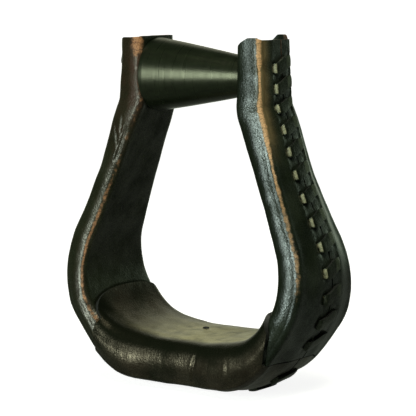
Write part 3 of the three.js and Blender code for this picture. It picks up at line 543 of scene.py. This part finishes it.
black_hide = leather("oiled black hide", face="#1b2116", deep="#0d120a", worn_and_glint="#a8845e",
                     haze_and_light="#5a5038", raw="#4a3626", glint="#f4ffff")
maroon_hide = leather("oiled maroon hide", face="#1f2418", deep="#11160c", worn_and_glint="#8a6444",
                      haze_and_light="#36201a", raw="#7a5038", glint="#f6f4e8")
leg_columns, leg_rows = 2 * half_columns + 1, 190
swell_height, swell_along, swell_columns = 0.0016, 0.006, 6
skived_share, skived_rows = 0.6, 9
left_creases = ((-0.045, 0.137, -0.0419, 0.123, 0.0005), (-0.0368, 0.135, -0.0438, 0.116, 0.0006),
                (-0.0395, 0.141, -0.0405, 0.129, 0.0004))
for name, is_right, hides in (
        ("right_leg_cover", True, black_hide), ("left_leg_cover", False, maroon_hide)):
    def wrap_leg(round_share, up_share):
        side = -1 if round_share < 0.5 else 1
        column = column_at(round_share)
        under = overlap(column)
        edge = lap_edge(column, side < 0, is_right) + lap_gap
        top = top_end + rim_rise(column, side, is_right)
        distance = mix(edge - lap_length * under, top, up_share)
        height, y = section_place(column, side, distance, leg_lace_offset, -1 if is_right else 1)
        # The left leg's front inner corner swells beside the roller
        if not is_right and side > 0:
            height -= swell_height * hump(distance, neck_end, swell_along) * hump(column, 47, swell_columns)
        # Sunk under the tread cover, and back in line within 1 mm of its edge
        beyond = smooth(distance, edge, edge - lap_gap + 0.0012)
        sunk = (hide_thickness - lap_rise + lap_gap) * under * (1 - beyond)
        turn = corner_turn(column)
        return place(distance, height + sunk * math.sin(turn), y - side * sunk * math.cos(turn))

    # Worn along the front outer corner of the right leg, more at the rim and the shoulder, and
    # along the front inner corner of the left, also where its rim was folded in
    def leg_wear(share, co):
        column = column_at(share)
        is_front = (share < 0.5) == is_right
        if is_front and not is_right:
            corner = hump(column, 45.5, mix(1.5, 2.2, smooth(co.z, 0.08, 0.1)))
            folded = hump(column, 44, 6) * smooth(co.z, 0.166, 0.177)
            low_down = mix(0.8, 1, smooth(co.z, 0.04, 0.075))
            most = 0.36 + 0.3 * (1 - smooth(co.z, 0.08, 0.11))
            return max(corner * low_down * most, 0.75 * folded)
        width = float(np.interp(co.z, (0.05, 0.09, 0.12, 0.131, 0.147, 0.155, 0.163, 0.171),
                                (3.4, 2.9, 1.7, 3.3, 3.5, 1.7, 1.7, 3.4)))
        spread = (column - mix(25.7, 24.5, smooth(co.z, 0.07, 0.11))) / width
        corner = math.exp(-(spread ** 2) * (1 if spread < 0 else 2.2))
        most = mix(0.56, 0.8, smooth(co.z, 0.08, 0.13)) if is_front else 0.5
        return corner * smooth(co.z, 0.04, 0.07) * most

    # A reddish haze on the left leg's front, and a tan one beside the right leg's crown that leaves
    # out the slits, so that their hollows stay dark: painted shade
    def leg_haze_and_slit_shade(share, co):
        column = column_at(share)
        if (share < 0.5) != is_right:
            return 0
        if not is_right:
            band = smooth(column, 22, 30) * smooth(column, 50, 46)
            return band * mix(0.2, 0.7, smooth(co.z, 0.105, 0.155))
        veil = hump(column, 20, 5) * smooth(co.z, 0.116, 0.142)
        # The slits' hollows are kept free of the haze: painted shade
        slit_shade = max(hump(co.z, slit.z, 0.0035) * hump(co.y, slit.y - 0.001, 0.004) for slit in slits)
        return 1.7 * veil * (1 - slit_shade)

    # Painted shade: on the left leg over the inner face, down the front's outer half and on the shoulder;
    # on the right down the front's inner half and on the neck; and a darker tone low on the right leg's
    # worn strip
    def leg_painted_shade(share, co):
        column = column_at(share)
        if not is_right and column > 48:
            return 0.4 * smooth(column, 48, 54)
        if (share < 0.5) != is_right:
            return 0
        if not is_right:
            outer_half = 0.55 * smooth(column, 24, 28) * smooth(column, 41, 34)
            shoulder = smooth(column, 26, 30) * smooth(co.z, 0.105, 0.12) * smooth(co.z, 0.15, 0.14)
            return max(outer_half, 0.3 * shoulder)
        inner_half = smooth(column, 31, 40) * smooth(co.z, 0.03, 0.05) * smooth(co.z, 0.148, 0.138)
        strip = hump(column, 25.5, 4) * smooth(co.z, 0.125, 0.095)
        neck = smooth(column, 28, 32) * smooth(co.z, 0.14, 0.15)
        return max(0.85 * inner_half, 0.45 * strip, 0.36 * neck)

    cover = wrapped_sheet(name + "_hide", leg_columns - 1, leg_rows, wrap_leg)
    face_out(cover, place(lean_start, 0, 0.01), Vector((1, 0, 0)))
    measure_along(cover, 2)
    slits = [place(distance_at_outer(s - lace_slant), crown_height, leg_lace_offset - lace_row)
             for s in leg_stitches]
    paint(cover, leg_columns, "wear_and_glint", leg_wear)
    paint(cover, leg_columns, "haze_and_light", leg_haze_and_slit_shade)
    paint(cover, leg_columns, "painted_shade", leg_painted_shade)
    pucker(cover, leg_stitches, leg_lace_offset, not is_right)
    if not is_right:
        crease(cover, left_creases, -1)
    # Skived thin where it lies under the tread cover
    full = cover.vertex_groups.new(name="full thickness")
    for vertex in cover.data.vertices:
        row, k = divmod(vertex.index, leg_columns)
        is_under = row < skived_rows and overlap(column_at(k / (leg_columns - 1))) > 0.5
        full.add([vertex.index], skived_share if is_under else 1, "REPLACE")
    thicken(cover, hides, hide_thickness, full.name)
    if not is_right:
        turn_half_round(cover)
    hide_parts(name)
    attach(cover, "root")


# Tread cover: the same leather, wrapped round the tread from below and laced under it. Its two ends
# are cut to tongues and drawn up inside the legs over the ends of the leg covers.
# The top is scuffed dull by boots and painted pale, partly as light from above; the front is wrinkled where
# the hide was gathered.
# Its pale haze colour on the top is partly painted light
tread_hides = leather("oiled tread leather", face="#1a1610", deep="#0b0e08", worn_and_glint="#a39c72",
                      haze_and_light="#827e62", raw="#4a2f20", glint="#fff0d0")
tread_columns, tread_rows = 2 * half_columns + 1, 150
crease_top, crease_foot = 0.0215, 0.0065


def wrap_tread(round_share, along_share):
    side = -1 if round_share < 0.5 else 1
    column = column_at(round_share)
    is_right = along_share > 0.5
    distance = (2 * along_share - 1) * lap_edge(column, (side < 0) == is_right, is_right)
    height, y = section_place(column, side, distance, tread_lace_offset)
    raised = lap_rise * overlap(column) * smooth(abs(distance), floor_half * 0.45, floor_half * 1.25)
    turn = corner_turn(column)
    return place(distance, height - raised * math.sin(turn), y + side * raised * math.cos(turn))


# The top is painted pale: scuffed where a boot rests, and partly painted light from above, brighter towards
# the right
def tread_scuff_and_light(share, co):
    paler_rightwards = mix(0.02, 1, smooth(co.x, -0.045, 0.002))
    low_down = mix(0.15, 1, smooth(co.z, 0.048, 0.031))
    return 1.4 * smooth(column_at(share), 47, 56) * paler_rightwards * low_down


# Painted shade along the front edge of the scuffed top, and on the front where the left end laps over
def tread_painted_shade(share, co):
    column = column_at(share)
    if share > 0.5:
        return 0
    edge = smooth(column, 40, 45) * smooth(column, 55, 48)
    left_lap = smooth(column, 34, 42) * smooth(column, 60, 52) * smooth(co.x, -0.043, -0.05)
    return 0.9 * max(edge, left_lap)


tread = wrapped_sheet("tread_hide", tread_columns - 1, tread_rows, wrap_tread)
face_out(tread, Vector((0, 0, tread_top)), Vector((0, 0, 1)))
measure_along(tread, 0)
paint(tread, tread_columns, "haze_and_light", tread_scuff_and_light)
paint(tread, tread_columns, "painted_shade", tread_painted_shade)
pucker(tread, tread_stitches, tread_lace_offset, False)
crease(tread, [(x, crease_top, x + lean_x, crease_foot, depth) for x, lean_x, depth in (
    (0.0135, -0.0026, 0.0006), (0.034, 0.0014, 0.00028), (-0.008, 0.0018, 0.00006),
    (-0.027, 0.003, 0.00006), (0.022, -0.001, 0.00012))])
thicken(tread, tread_hides, hide_thickness)
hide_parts("tread_cover")
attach(tread, "root")


# Lacing: three lengths of flat latigo thong, 5 to 7 mm wide and 1.4 mm thick, each whipped through
# two rows of slits. It comes up through a front slit, crosses the seam at a slant, goes down
# through the back slit and runs under the leather to the next.
# Its pale worn colour is partly a painted highlight on the bends, and its haze colour a painted sheen
thong_hides = leather("latigo thong", face="#161c12", deep="#0b0f09", worn_and_glint="#7e7c62",
                      haze_and_light="#3c4436", raw="#2a2e22", glint="#f4ffe8")
thong_thickness = 0.0014
thong_narrow, thong_wide, thong_dome = 0.005, 0.0068, 0.00025
thong_over = crown_height + 0.00035 + thong_thickness / 2
thong_under = (crown_height - hide_thickness - 0.00275) / 2
thong_bend = 0.0011
bend_steps, strap_steps = 5, 7


# Path of one stitch, from bend to bend in steps of (length along the outer face, Y, height,
# direction of the thong's face, how far it is spread from narrow to wide)
def stitch_path(middle):
    def bend(length, y, height, start, spread, spread_after):
        steps = []
        for k in range(bend_steps):
            share = k / (bend_steps - 1)
            a = math.radians(start - 90 * share)
            steps.append((length, y + thong_bend * math.cos(a), height + thong_bend * math.sin(a), a,
                          mix(spread, spread_after, share)))
        return steps

    front, back = middle - lace_slant, middle + lace_slant
    inwards = lace_row - thong_bend
    under, over = thong_under + thong_bend, thong_over - thong_bend
    strap = []
    for k in range(1, strap_steps + 1):
        t = k / (strap_steps + 1)
        strap.append((mix(front, back, smooth(t, 0, 1)), mix(-inwards, inwards, t), thong_over,
                      math.pi / 2, math.sin(math.pi * mix(0.16, 0.84, t))))
    return (bend(front, -inwards, under, 270, 0, 0) + bend(front, -inwards, over, 180, 0, 0.5) + strap
            + bend(back, inwards, over, 90, 0.5, 0) + bend(back, inwards, under, 0, 0, 0))


thong_columns = 8
for name, stitches, offset, is_left in (
        ("right_leg_lace", leg_stitches, leg_lace_offset, False),
        ("left_leg_lace", leg_stitches, leg_lace_offset, True),
        ("tread_lace", tread_stitches, tread_lace_offset, False)):
    path = [step for middle in stitches for step in stitch_path(middle)]

    def wrap_thong(across_share, along_share):
        length, y, height, a, spread = path[round(along_share * (len(path) - 1))]
        across = (across_share - 0.5) * mix(thong_narrow, thong_wide, spread)
        lift = thong_thickness / 2 - thong_dome * (2 * across_share - 1) ** 2
        return place(distance_at_outer(length + across), height + lift * math.sin(a),
                     offset + y + lift * math.cos(a))

    thong = wrapped_sheet(name + "_thong", thong_columns, len(path) - 1, wrap_thong)
    first = distance_at_outer(stitches[0])
    nx, nz = inside_outline(first)[2:]
    face_out(thong, place(first, thong_over, offset), Vector((nx, 0, nz)))
    # Worn pale on the bend over the front slit, partly a painted highlight; painted shade along the strap;
    # a paler painted sheen, with less shine, over the back slit; by steps of a stitch, and all of it dark
    # low down
    steps = len(stitch_path(0))
    for label, begin, end, most in (("wear_and_glint", 5, 7, 0.62), ("painted_shade", 8, 14, 0.45), ("haze_and_light", 15, 21, 0.9)):
        layer = thong.data.attributes.new(label, "FLOAT", "POINT")
        amounts = []
        for vertex in thong.data.vertices:
            row, k = divmod(vertex.index, thong_columns + 1)
            is_painted = begin <= row % steps <= end and 0 < k < thong_columns
            amounts.append(most * smooth(vertex.co.z, 0.042, 0.064) if is_painted else 0)
        layer.data.foreach_set("value", amounts)
    thicken(thong, thong_hides, thong_thickness)
    if is_left:
        turn_half_round(thong)
    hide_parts(name)
    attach(thong, "root")


# Tack: one small blued nail in the middle of the tread, driven through the leather into the wood.
# Its low domed head is worn flat and shows near black.
blued, tree, shader = start_material("blued steel")
where = add(tree, "ShaderNodeTexCoord").outputs["Object"]
# Mottle of the blueing, about 0.4 mm
mottle = add(tree, "ShaderNodeTexNoise", {"Vector": where, "Scale": 2500, "Detail": 2}).outputs["Fac"]
tone = add(tree, "ShaderNodeValToRGB", {"Fac": mottle}, stops=[
    (0.35, linear("#1d1e1f")), (0.7, linear("#3c3d3c"))])
tree.links.new(tone.outputs[0], shader.inputs["Base Color"])
shader.inputs["Metallic"].default_value = 1
shader.inputs["Roughness"].default_value = 0.42
node_of["tread_tack"].data.materials.clear()
node_of["tread_tack"].data.materials.append(blued)


# Roller: a cone turned from a beech blank, stained green-black and waxed, with a bore that runs on
# the tube round the bolt. Fine rings from the lathe's cutter are left in the surface.
roller_axis = leg_top - 0.0191
roller_reach = neck_half_gap - 0.0005
roller_radius, roller_bore = 0.0193, 0.00585
rounding, end_face_rounding = 0.0003, 0.0008
xs = np.linspace(-1, 1, 40)
radii = np.interp(xs, (-1, -0.34, 0.34, 1), [roller_radius * share for share in (1, 0.845, 0.67, 0.49)])
rounded_from = 1 - rounding / roller_reach
outline = [(roller_bore, -1), (radii[0] - end_face_rounding, -1), (radii[0] - rounding, -rounded_from),
           *zip(radii[1:-1], xs[1:-1]),
           (radii[-1] - rounding, rounded_from), (radii[-1] - end_face_rounding, 1), (roller_bore, 1)]
bpy.ops.object.select_all(action="DESELECT")
bpy.ops.mesh.primitive_circle_add(vertices=len(outline), radius=roller_radius)
roller = bpy.context.object
roller.name = roller.data.name = "roller_cone"
for vertex, (radius, x) in zip(roller.data.vertices, outline):
    vertex.co = (x * roller_reach, 0, roller_axis + radius)
bpy.ops.object.mode_set(mode="EDIT")
bpy.ops.mesh.select_all(action="SELECT")
bpy.ops.mesh.spin(steps=120, angle=2 * math.pi, center=(0, 0, roller_axis), axis=(1, 0, 0))
bpy.ops.mesh.select_all(action="SELECT")
bpy.ops.mesh.remove_doubles(threshold=0.00001)
bpy.ops.mesh.normals_make_consistent(inside=False)
bpy.ops.object.mode_set(mode="OBJECT")
bpy.ops.object.shade_smooth_by_angle(angle=math.radians(40))

stained, tree, shader = start_material("turned beech, stained and waxed")
where = add(tree, "ShaderNodeTexCoord").outputs["Object"]
stretched = add(tree, "ShaderNodeMapping", {"Vector": where, "Scale": (0.12, 1, 1)}).outputs[0]
# Grain about 1.5 mm wide along the roller, and cutter rings, real about 0.2 mm, drawn at 0.6 mm
grain = add(tree, "ShaderNodeTexNoise", {"Vector": stretched, "Scale": 700, "Detail": 5}).outputs["Fac"]
tone = add(tree, "ShaderNodeValToRGB", {"Fac": grain}, stops=[
    (0.3, linear("#060a05")), (0.7, linear("#0f150b"))])
tree.links.new(tone.outputs[0], shader.inputs["Base Color"])
rings_at = add(tree, "ShaderNodeMapping", {"Vector": where, "Scale": (1, 0.02, 0.02)}).outputs[0]
ring_lines = add(tree, "ShaderNodeTexNoise", {
    "Vector": rings_at, "Scale": 1600, "Detail": 3}).outputs["Fac"]
dull = add(tree, "ShaderNodeMapRange", {"Value": ring_lines, "To Min": 0.2, "To Max": 0.42}).outputs[0]
tree.links.new(dull, shader.inputs["Roughness"])
lines = add(tree, "ShaderNodeBump", {"Height": ring_lines, "Strength": 0.6, "Distance": 0.0001})
tree.links.new(lines.outputs[0], shader.inputs["Normal"])
shader.inputs["Specular Tint"].default_value = linear("#f0f4d0")
shader.inputs["Specular IOR Level"].default_value = 0.43
roller.data.materials.append(stained)
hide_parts("roller")
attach(roller, "roller")


# Studio: a white paper floor, a white backdrop at the back left, and three lamps: a large one low at
# the front, one high at the front right and a faint one behind. Mirrored in the object, floor, backdrop
# and the room beyond are dimmer than they are seen, so that the dark leather stays dark.
bpy.ops.object.select_all(action="DESELECT")
bpy.ops.mesh.primitive_plane_add(size=8)
floor = bpy.context.object
floor.name = "floor"
paper, tree, shader = start_material("white paper")
output = next(made for made in tree.nodes if made.type == "OUTPUT_MATERIAL")
shader.inputs["Base Color"].default_value = linear("#b0b0ae")
shader.inputs["Roughness"].default_value = 0.9
shader.inputs["Emission Color"].default_value = (1, 1, 1, 1)
seen = add(tree, "ShaderNodeLightPath").outputs
where = add(tree, "ShaderNodeTexCoord").outputs["Object"]
away = add(tree, "ShaderNodeVectorMath", {0: where}, operation="LENGTH").outputs["Value"]
bright = add(tree, "ShaderNodeMapRange", {
    "Value": away, "From Min": 0.15, "From Max": 0.6, "To Min": 0.88, "To Max": 1}).outputs[0]
lit = add(tree, "ShaderNodeMath", {
    0: seen["Is Camera Ray"], 1: bright}, operation="MULTIPLY").outputs[0]
tree.links.new(lit, shader.inputs["Emission Strength"])
from_lit = add(tree, "ShaderNodeVectorMath", {
    0: where, 1: (-0.45, 0.65, 0)}, operation="DISTANCE").outputs["Value"]
near = add(tree, "ShaderNodeMapRange", {
    "Value": from_lit, "From Min": 0.3, "From Max": 0.55, "To Min": 1, "To Max": 0.15}).outputs[0]
mirrored = add(tree, "ShaderNodeEmission", {"Color": (0.9, 1, 0.8, 1), "Strength": near}).outputs[0]
both = add(tree, "ShaderNodeMixShader", {0: seen["Is Glossy Ray"], 1: shader.outputs[0], 2: mirrored})
tree.links.new(both.outputs[0], output.inputs["Surface"])
floor.data.materials.append(paper)

bpy.ops.mesh.primitive_cylinder_add(vertices=72, radius=2.6, depth=2.2, end_fill_type="NOTHING",
                                    location=(0, 0, 1.1))
sweep = bpy.context.object
sweep.name = "backdrop"
bpy.ops.object.mode_set(mode="EDIT")
bpy.ops.mesh.select_all(action="DESELECT")
bpy.ops.object.mode_set(mode="OBJECT")
backdrop_left, backdrop_right = -85, 2
for face in sweep.data.polygons:
    bearing = math.degrees(math.atan2(face.center.x, face.center.y))
    face.select = not backdrop_left < bearing < backdrop_right
bpy.ops.object.mode_set(mode="EDIT")
bpy.ops.mesh.select_mode(type="FACE")
bpy.ops.mesh.delete(type="FACE")
bpy.ops.object.mode_set(mode="OBJECT")
glow, tree, shader = start_material("white backdrop")
shader.inputs["Base Color"].default_value = linear("#e8e8e6")
seen = add(tree, "ShaderNodeLightPath").outputs
shine = add(tree, "ShaderNodeMath", {
    0: seen["Is Camera Ray"], 1: seen["Is Glossy Ray"]}, operation="MAXIMUM").outputs[0]
tint = add(tree, "ShaderNodeMix", {
    0: seen["Is Camera Ray"], 6: (0.5, 0.5, 0.36, 1), 7: (1, 1, 1, 1)}, data_type="RGBA").outputs[2]
tree.links.new(tint, shader.inputs["Emission Color"])
tree.links.new(shine, shader.inputs["Emission Strength"])
sweep.data.materials.append(glow)

world = bpy.data.worlds.new("studio")
bpy.context.scene.world = world
world.use_nodes = True
tree = world.node_tree
tree.nodes.clear()
seen = add(tree, "ShaderNodeLightPath").outputs
dim = add(tree, "ShaderNodeBackground", {"Color": (0.85, 1, 0.78, 1), "Strength": 0.1}).outputs[0]
dark = add(tree, "ShaderNodeBackground", {"Color": (0.8, 1, 0.72, 1), "Strength": 0.03}).outputs[0]
white = add(tree, "ShaderNodeBackground", {"Color": (1, 1, 1, 1), "Strength": 1}).outputs[0]
shaded = add(tree, "ShaderNodeMixShader", {0: seen["Is Glossy Ray"], 1: dim, 2: dark}).outputs[0]
sky = add(tree, "ShaderNodeMixShader", {0: seen["Is Camera Ray"], 1: shaded, 2: white}).outputs[0]
add(tree, "ShaderNodeOutputWorld", {"Surface": sky})

aim = Vector((0, 0, 0.09))
for name, power, colour, size, tall, bearing, up, reach in (
        ("key", 9.2, (0.9, 1, 0.92), 0.4, 0.42, -10, 8, 0.95),
        ("top", 12, (1, 0.99, 0.82), 0.5, 0.5, 40, 62, 1.1),
        ("side", 0.5, (0.8, 1, 0.75), 0.5, 0.3, 168, 8, 1)):
    lamp = bpy.data.lights.new(name, "AREA")
    lamp.color = colour
    lamp.shape = "RECTANGLE"
    lamp.size, lamp.size_y, lamp.energy = size, tall, power
    stand = bpy.data.objects.new(name, lamp)
    a, e = math.radians(bearing), math.radians(up)
    outwards = Vector((math.sin(a) * math.cos(e), -math.cos(a) * math.cos(e), math.sin(e)))
    stand.location = aim + outwards * reach
    stand.rotation_euler = outwards.to_track_quat("Z", "Y").to_euler()
    stand.visible_camera = False
    bpy.context.scene.collection.objects.link(stand)

# The photograph's viewpoint, through a long lens
azimuth, elevation, roll = math.radians(35), math.radians(7.2), math.radians(-0.41)
back = Vector((math.sin(azimuth) * math.cos(elevation),
               -math.cos(azimuth) * math.cos(elevation), math.sin(elevation)))
view = bpy.data.cameras.new("camera")
view.sensor_width = 36
view.lens = 149.46
view.clip_start, view.clip_end = 0.05, 20
camera = bpy.data.objects.new("camera", view)
camera.location = Vector((0.0017, 0, 0.0925)) + back * 0.8933
camera.rotation_mode = "QUATERNION"
camera.rotation_quaternion = back.to_track_quat("Z", "Y") @ Quaternion((0, 0, 1), roll)
bpy.context.scene.collection.objects.link(camera)
bpy.context.scene.camera = camera
bpy.context.scene.view_settings.view_transform = "Standard"
